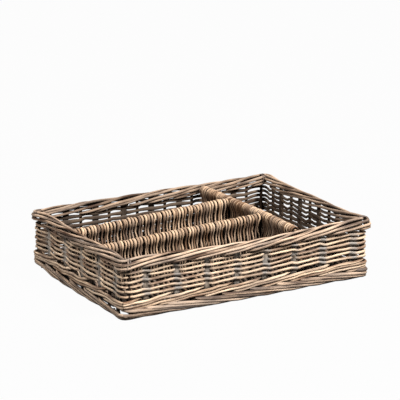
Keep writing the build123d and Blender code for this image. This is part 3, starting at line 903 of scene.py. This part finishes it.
# %% One mesh for each node
def cane_mesh(node):
    points, corner, start, facing = [], [], [], []
    flats = {"Cane": [], "OFBake": []}
    values = {"tone": [], "grey": [], "seed": []}
    bases, base, loops = [], 0, 0
    for rings, along, tone, grey, seed in canes[node]:
        sides = rings.shape[1]
        bases.append(base)
        points.append(rings.reshape(-1, 3))
        facing.append(ring_normals(rings).reshape(-1, 3))
        values["tone"].append(np.repeat(tone, sides))
        values["grey"].append(np.repeat(grey, sides))
        values["seed"].append(np.full(len(rings) * sides, seed))
        base += len(rings) * sides
    jobs, strips = cut_strips(node)
    side, places = lay_out(strips, BAKE_MARGIN)
    for (c, p, q, rim), (x, y) in zip(jobs, places):
        rings, along, tone, grey, seed = canes[node][c]
        sides = rings.shape[1]
        k = np.arange(sides)
        if q > p:
            i = np.arange(p, q)[:, None]
            ring, nxt = bases[c] + i * sides, bases[c] + (i + 1) * sides
            after = (k + 1) % sides
            corner.append(np.stack([ring + k, nxt + k, nxt + after, ring + after], axis=-1).ravel())
            start.append(loops + 4 * np.arange((q - p) * sides))
            l0 = np.repeat(along[p:q][:, None], sides, axis=1)
            l1 = np.repeat(along[p + 1:q + 1][:, None], sides, axis=1)
            r0, r1 = (np.broadcast_to(r, l0.shape) for r in (rim[:-1], rim[1:]))
            quad = ((l0, r0), (l1, r0), (l1, r1), (l0, r1))
            flat = np.stack([np.stack(v, axis=-1) for v in quad], axis=2).reshape(-1, 2)
            flats["Cane"].append(flat * MM)
            flats["OFBake"].append((flat - [along[p], 0] + [x, y]) / side)
        else:
            # A sawn end has points of its own, so that it is shaded flat
            turned, inner = (1, rings[1]) if p == 0 else (-1, rings[-2])
            order = k[::turned]
            corner.append(base + order)
            points.append(rings[p])
            facing.append(np.repeat([rings[p].mean(axis=0) - inner.mean(axis=0)], sides, axis=0))
            for name, value in (("tone", tone[p]), ("grey", grey[p]), ("seed", seed)):
                values[name].append(np.full(sides, value))
            base += sides
            start.append(np.array([loops]))
            angle, size = 2 * math.pi * order / sides, rim[-1] / CAP_SIZE
            disc = np.stack([np.cos(angle), np.sin(angle) * turned], axis=1) * size
            flats["Cane"].append((disc + [along[p], size]) * MM)
            flats["OFBake"].append((disc + size + [x, y]) / side)
        loops += len(corner[-1])
    points, corner, start, facing = map(np.concatenate, (points, corner, start, facing))
    return fill_mesh(node, points * MM, corner, start, flats, values, facing)


SLOTS = {part["node"]: part["material_slot"] for part in frame["record"]["subparts"]}
pieces = []
for node in frame["nodes"]:
    piece = bpy.data.objects.new(f"{node}_cane", cane_mesh(node))
    bpy.context.collection.objects.link(piece)
    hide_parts(node)
    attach(piece, "root")
    pieces.append((piece, SLOTS[node]))
print(len(pieces), "pieces,", sum(len(p.data.polygons) for p, s in pieces), "faces")

# %% [markdown]
# Shader sums read best as plain Python, so one small class stands for a value that changes over a
# surface. Adding or multiplying two of them adds a Math node, and `make` adds any other node. Node
# groups would hide the sums as well.


# %% Values that change over a surface
class Shade:
    def __init__(self, tree, socket=None):
        self.tree, self.socket = tree, socket

    def make(self, kind, settings=None, inputs=None, output=0):
        node = self.tree.nodes.new(kind)
        for name, value in (settings or {}).items():
            setattr(node, name, value)
        for name, value in (inputs or {}).items():
            if isinstance(value, Shade):
                self.tree.links.new(value.socket, node.inputs[name])
            else:
                node.inputs[name].default_value = value
        return Shade(self.tree, node.outputs[output])

    def other(self, output):
        """Another output of the node that this value comes from."""
        return Shade(self.tree, self.socket.node.outputs[output])

    def feed(self, node, name):
        self.tree.links.new(self.socket, node.inputs[name])

    def sum(self, operation, *values):
        return self.make("ShaderNodeMath", {"operation": operation}, dict(enumerate(values)))

    def __add__(self, other):
        return self.sum("ADD", self, other)

    __radd__ = __add__

    def __sub__(self, other):
        return self.sum("SUBTRACT", self, other)

    def __rsub__(self, other):
        return self.sum("SUBTRACT", other, self)

    def __mul__(self, other):
        return self.sum("MULTIPLY", self, other)

    __rmul__ = __mul__

    def __truediv__(self, other):
        return self.sum("DIVIDE", self, other)

    def __rtruediv__(self, other):
        return self.sum("DIVIDE", other, self)

    def clamp(self, low=0.0, high=1.0):
        return self.make("ShaderNodeClamp", {}, {"Value": self, "Min": low, "Max": high})

    def mix(self, one, two):
        """Colour one where this value is 0, colour two where it is 1."""
        return self.make("ShaderNodeMix", {"data_type": "RGBA"}, {0: self, 6: one, 7: two}, 2)


def srgb(r, g, b):
    """A colour given as 0 to 255, as a linear colour."""
    parts = [c / 255 for c in (r, g, b)]
    return tuple(c / 12.92 if c < 0.04045 else ((c + 0.055) / 1.055) ** 2.4 for c in parts) + (1.0,)


print("middle grey:", [round(c, 3) for c in srgb(128, 128, 128)])

# %% [markdown]
# Weathered rattan is never one colour. Fine fibres run along each cane; slow blotches show where
# sun and hands have been; whole canes are paler, browner or greyer than their neighbours; and dust
# settles as a dull film. A picture of cane could be wrapped round them, but would repeat. The
# fibres come from noise that is stretched along the cane, using the coordinates in metres, and the
# same fibres make the bump. Where canes shade each other closely, painted shade darkens the
# crevices to nearly black, and what faces the inside of the basket is darker.

# %% Colours of the rattan
TAN = {  # pale and brown
    "weaver_rattan": (srgb(226, 196, 164), srgb(114, 84, 62)),
    "stake_rattan": (srgb(178, 162, 144), srgb(46, 35, 28)),
    "border_rattan": (srgb(196, 167, 141), srgb(72, 52, 40)),
    "divider_rattan": (srgb(200, 168, 137), srgb(100, 73, 53)),
    # The base is painted darker than the other canes, as shade inside the basket
    "base_rattan": (srgb(120, 97, 78), srgb(64, 48, 37)),
}
# The second colour is painted shade, for the crevices and for the dividers low down
WEATHERED, PAINTED_SHADE_COLOUR = srgb(128, 124, 119), srgb(14, 10, 8)
DARK_FIBRE, DARK_INSIDE = srgb(70, 52, 40), srgb(48, 36, 28)
# How much darker each finish is made where it faces the inside of the basket
INNER_DARK = {"weaver_rattan": 0.9, "stake_rattan": 0.92, "border_rattan": 0.45}
OUTWARDS = (1 / (X_MID * MM), 1 / (Y_MID * MM), 0)  # turns a place into a way out of the basket
LOW_PAINTED_SHADE = {"divider_rattan": (0.068, 0.03, 0.94)}  # painted shade below a height, within, and how much
# Noise cells for each metre along and round a cane, shares of its seed, and detail
GRAIN = {
    "fibre": (28, 900, 1, 1, 4.0),
    "streak": (14, 260, 1, 3, 2.0),
    "blotch": (30, 60, 7, 1, 3.0),
}
DUST_SCALE, DUST_DETAIL = 22.0, 3.0
BROWN, BROWN_TONE, BROWN_STREAK, BROWN_BLOTCH = 0.45, 0.24, 2.0, 3.0
FADED_GREY, FADED_DUST, FADED_MOST = 0.75, 0.6, 0.9
FIBRE_GAIN, FIBRE_MOST = 2.6, 0.7
SHADE_REACH, SHADE_SAMPLES = 0.016, 6
# Painted shade in crevices: from which openness it starts, less on grey, its gain and its most
PAINTED_SHADE_BELOW, PAINTED_SHADE_GREY, PAINTED_SHADE_GAIN, PAINTED_SHADE_MOST = 0.86, 0.38, 2.8, 0.98
INNER_FROM, INNER_GAIN = 0.1, 1.4
ROUGH, ROUGH_FIBRE, ROUGH_FADED, ROUGH_LIMITS = 0.62, 0.4, 0.15, (0.35, 0.95)
BUMP = {"Strength": 0.35, "Distance": 0.0006}
BUMP_FIBRE, BUMP_STREAK = 0.7, 0.5
SPECULAR = 0.06
print("colours for", ", ".join(TAN))


# %% Rattan finishes
def rattan(slot):
    material = bpy.data.materials.new(slot)
    material.use_nodes = True
    tree = material.node_tree
    shader = tree.nodes["Principled BSDF"]
    sheet = Shade(tree)
    tone, grey, seed = (
        sheet.make("ShaderNodeAttribute", {"attribute_name": name}, output=2)
        for name in ("tone", "grey", "seed")
    )
    spot = sheet.make("ShaderNodeTexCoord", output=3)
    flat = sheet.make("ShaderNodeUVMap", {"uv_map": "Cane"})
    along = sheet.make("ShaderNodeSeparateXYZ", inputs={"Vector": flat})
    across = along.other(1)

    def noise(at, scale, detail):
        inputs = {"Vector": at, "Scale": scale, "Detail": detail}
        return sheet.make("ShaderNodeTexNoise", inputs=inputs)

    def grain(kind):
        per_along, per_round, shift, aside, detail = GRAIN[kind]
        places = {0: along * per_along + seed * shift, 1: across * per_round, 2: seed * aside}
        return noise(sheet.make("ShaderNodeCombineXYZ", inputs=places), 1.0, detail)

    fibre, streak, blotch = (grain(kind) for kind in GRAIN)
    dust = noise(spot, DUST_SCALE, DUST_DETAIL)
    brown = BROWN - tone * BROWN_TONE
    brown = brown + (streak - 0.5) * BROWN_STREAK + (blotch - 0.5) * BROWN_BLOTCH
    colour = brown.clamp().mix(*TAN[slot])
    faded = (grey * FADED_GREY + (dust - 0.5) * FADED_DUST).clamp(0.0, FADED_MOST)
    colour = faded.mix(colour, WEATHERED)
    colour = ((0.5 - fibre) * FIBRE_GAIN).clamp(0.0, FIBRE_MOST).mix(colour, DARK_FIBRE)

    # Painted shade: where canes shade each other closely the colour goes towards near black
    settings, reach = {"samples": SHADE_SAMPLES}, {"Distance": SHADE_REACH}
    open_sky = sheet.make("ShaderNodeAmbientOcclusion", settings, reach, output=1)
    painted_shade = (PAINTED_SHADE_BELOW - open_sky - grey * PAINTED_SHADE_GREY) * PAINTED_SHADE_GAIN
    # Painted shade on the dividers, darker towards the base
    if slot in LOW_PAINTED_SHADE:
        below, within, most = LOW_PAINTED_SHADE[slot]
        height = sheet.make("ShaderNodeSeparateXYZ", inputs={"Vector": spot}, output=2)
        painted_shade = painted_shade + ((below - height) / within).clamp() * most
    colour = painted_shade.clamp(0.0, PAINTED_SHADE_MOST).mix(colour, PAINTED_SHADE_COLOUR)
    if slot in INNER_DARK:
        facing = sheet.make("ShaderNodeNewGeometry", output=1)
        outwards = sheet.make(
            "ShaderNodeVectorMath", {"operation": "MULTIPLY"}, {0: spot, 1: OUTWARDS}
        )
        turned = sheet.make(
            "ShaderNodeVectorMath", {"operation": "DOT_PRODUCT"}, {0: outwards, 1: facing}, 1
        )
        inner = ((INNER_FROM - turned) * INNER_GAIN).clamp() * INNER_DARK[slot]
        colour = inner.mix(colour, DARK_INSIDE)
    colour.feed(shader, "Base Color")

    rough = ROUGH + (fibre - 0.5) * ROUGH_FIBRE + faded * ROUGH_FADED
    rough.clamp(*ROUGH_LIMITS).feed(shader, "Roughness")
    height = fibre * BUMP_FIBRE + streak * BUMP_STREAK
    sheet.make("ShaderNodeBump", inputs={"Height": height, **BUMP}).feed(shader, "Normal")
    shader.inputs["Specular IOR Level"].default_value = SPECULAR
    return material


finishes = {slot: rattan(slot) for slot in TAN}
for piece, slot in pieces:
    piece.data.materials.append(finishes[slot])
print("finishes:", ", ".join(finishes))

# %% [markdown]
# The photograph is lit softly from above and the front right, on white. A bright floor would throw
# light up into the basket and pale its crevices. So the floor is dark to the light but white to the
# camera, and still takes a little of the shadow, and the world is white only where it is seen. A
# weaker lamp at the left keeps the short wall from going dark.

# %% Floor and world
FLOOR_REACH, FLOOR_GREY, FLOOR_ROUGH, FLOOR_GLOW = 4.0, 0.12, 0.9, 0.97
FILL = 0.075
WHITE = (1, 1, 1, 1)


def seen_white(sheet):
    """1 for what the camera sees, straight or through gloss and glass."""
    seen = sheet.make("ShaderNodeLightPath")
    return (seen + seen.other("Is Glossy Ray") + seen.other("Is Transmission Ray")).clamp()


square = [(-1, -1), (1, -1), (1, 1), (-1, 1)]
floor_points = [(x * FLOOR_REACH, y * FLOOR_REACH, 0) for x, y in square]
floor_mesh = bpy.data.meshes.new("floor")
floor_mesh.from_pydata(floor_points, [], [(0, 1, 2, 3)])
floor = bpy.data.objects.new("floor", floor_mesh)
bpy.context.collection.objects.link(floor)
floor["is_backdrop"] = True
paper = bpy.data.materials.new("paper")
paper.use_nodes = True
tree = paper.node_tree
sheet = Shade(tree)
matt = tree.nodes["Principled BSDF"]
matt.inputs["Base Color"].default_value = (FLOOR_GREY, FLOOR_GREY, FLOOR_GREY, 1)
matt.inputs["Roughness"].default_value = FLOOR_ROUGH
glow = sheet.make("ShaderNodeEmission", inputs={"Color": WHITE, "Strength": 1.0})
parts = {0: seen_white(sheet) * FLOOR_GLOW, 1: Shade(tree, matt.outputs[0]), 2: glow}
sheet.make("ShaderNodeMixShader", inputs=parts).feed(tree.nodes["Material Output"], "Surface")
floor_mesh.materials.append(paper)

world = bpy.data.worlds.new("studio")
bpy.context.scene.world = world
world.use_nodes = True
tree = world.node_tree
sheet = Shade(tree)
fill = tree.nodes["Background"]
fill.inputs["Color"].default_value = WHITE
fill.inputs["Strength"].default_value = FILL
backdrop = sheet.make("ShaderNodeBackground", inputs={"Color": WHITE, "Strength": 1.0})
parts = {0: seen_white(sheet), 1: Shade(tree, fill.outputs[0]), 2: backdrop}
sheet.make("ShaderNodeMixShader", inputs=parts).feed(tree.nodes["World Output"], "Surface")
print("floor", 2 * FLOOR_REACH, "m wide; fill", FILL)

# %% Lamps
LAMP_AIM = (0, 0, 0.04)
LAMPS = {  # place, size and power
    "key": ((0.7, -1.4, 1.85), 0.4, 131),
    "side": ((-1.4, -0.5, 1.6), 0.3, 39),
}
for name, (place, size, power) in LAMPS.items():
    light = bpy.data.lights.new(name, "AREA")
    light.size, light.energy = size, power
    lamp = bpy.data.objects.new(name, light)
    lamp.location = place
    lamp.rotation_euler = (Vector(LAMP_AIM) - Vector(place)).to_track_quat("-Z", "Y").to_euler()
    bpy.context.collection.objects.link(lamp)
print("lamps:", ", ".join(LAMPS))

# %% [markdown]
# The camera stands where the photograph was taken from. Its angles, distance and lens were fitted
# to the basket's corners; turning it by eye would leave the far corners off by some pixels.

# %% Camera
AZIMUTH, ELEVATION = math.radians(-29.48), math.radians(16.2)
DISTANCE, LENS, SENSOR = 3.0788, 202.5, 36.0
AIM_RIGHT, AIM_UP = 0.0013, 0.1025
right = Vector((math.cos(AZIMUTH), math.sin(AZIMUTH), 0))
level_back = Vector((math.sin(AZIMUTH), -math.cos(AZIMUTH), 0))
back = level_back * math.cos(ELEVATION) + Vector((0, 0, math.sin(ELEVATION)))
above = back.cross(right)
view = bpy.data.cameras.new("view")
view.sensor_width, view.lens = SENSOR, LENS
camera = bpy.data.objects.new("view", view)
aim = right * AIM_RIGHT + Vector((0, 0, AIM_UP))
spin = Matrix((right, above, back)).transposed().to_4x4()
camera.matrix_world = Matrix.Translation(aim + back * DISTANCE) @ spin
bpy.context.collection.objects.link(camera)
bpy.context.scene.camera = camera
bpy.context.scene.view_settings.view_transform = "Standard"
print("camera at", [round(c, 3) for c in camera.matrix_world.translation])

# %% [markdown]
# Last, the visible basket is measured. Blender's own dimensions are those of one object;
# object_bounds takes in all pieces.

# %% Measure
low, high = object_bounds()
print("visible box in mm:", [round((b - a) / MM, 1) for a, b in zip(low, high)])
